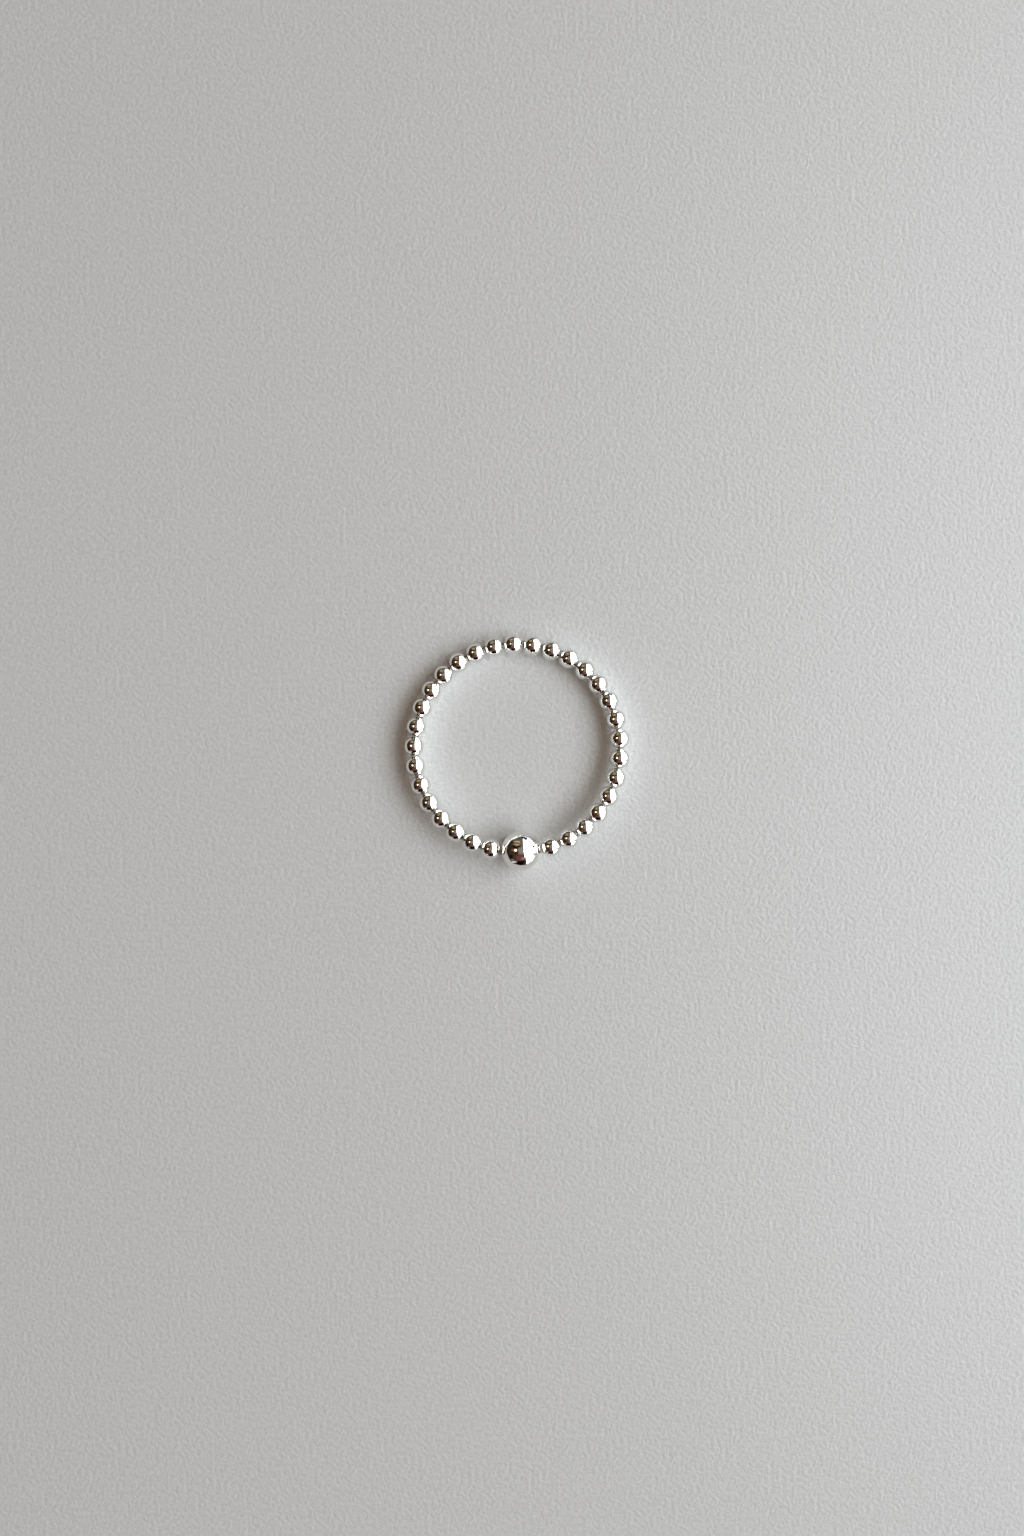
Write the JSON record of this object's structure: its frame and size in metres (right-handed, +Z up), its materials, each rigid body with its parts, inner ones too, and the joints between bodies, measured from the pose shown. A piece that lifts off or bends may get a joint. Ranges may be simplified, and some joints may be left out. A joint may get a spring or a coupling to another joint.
{
  "type": "beaded braid hair ring on elastic",
  "caption": "Ring of small polished round metal beads and one large round bead, strung on a hidden elastic thread, that slides over a braid, a strand of hair or a finger.",
  "frame": {"origin": "middle of the ring's outline seen from above, on the surface that the ring lies on", "axes": "+Z up from the surface, +Y from the large bead towards the far side of the ring, +X to the right seen from above with the large bead nearest"},
  "size_m": [0.0226, 0.0236, 0.004],
  "materials": {
    "polished_silver": "mirror polished sterling silver with faint tumbling marks",
    "clear_elastic": "smooth clear stretch elastic"
  },
  "bodies": {
    "root": {"bead_01": "polished_silver", "bead_02": "polished_silver", "bead_03": "polished_silver", "bead_04": "polished_silver", "bead_05": "polished_silver", "bead_06": "polished_silver", "bead_07": "polished_silver", "bead_08": "polished_silver", "bead_09": "polished_silver", "bead_10": "polished_silver", "bead_11": "polished_silver", "bead_12": "polished_silver", "bead_13": "polished_silver", "bead_14": "polished_silver", "bead_15": "polished_silver", "bead_16": "polished_silver", "bead_17": "polished_silver", "bead_18": "polished_silver", "bead_19": "polished_silver", "bead_20": "polished_silver", "bead_21": "polished_silver", "bead_22": "polished_silver", "bead_23": "polished_silver", "bead_24": "polished_silver", "bead_25": "polished_silver", "bead_26": "polished_silver", "bead_27": "polished_silver", "bead_28": "polished_silver", "bead_29": "polished_silver", "bead_30": "polished_silver", "bead_31": "polished_silver", "large_bead": "polished_silver", "elastic_thread": "clear_elastic"}
  },
  "joints": []
}
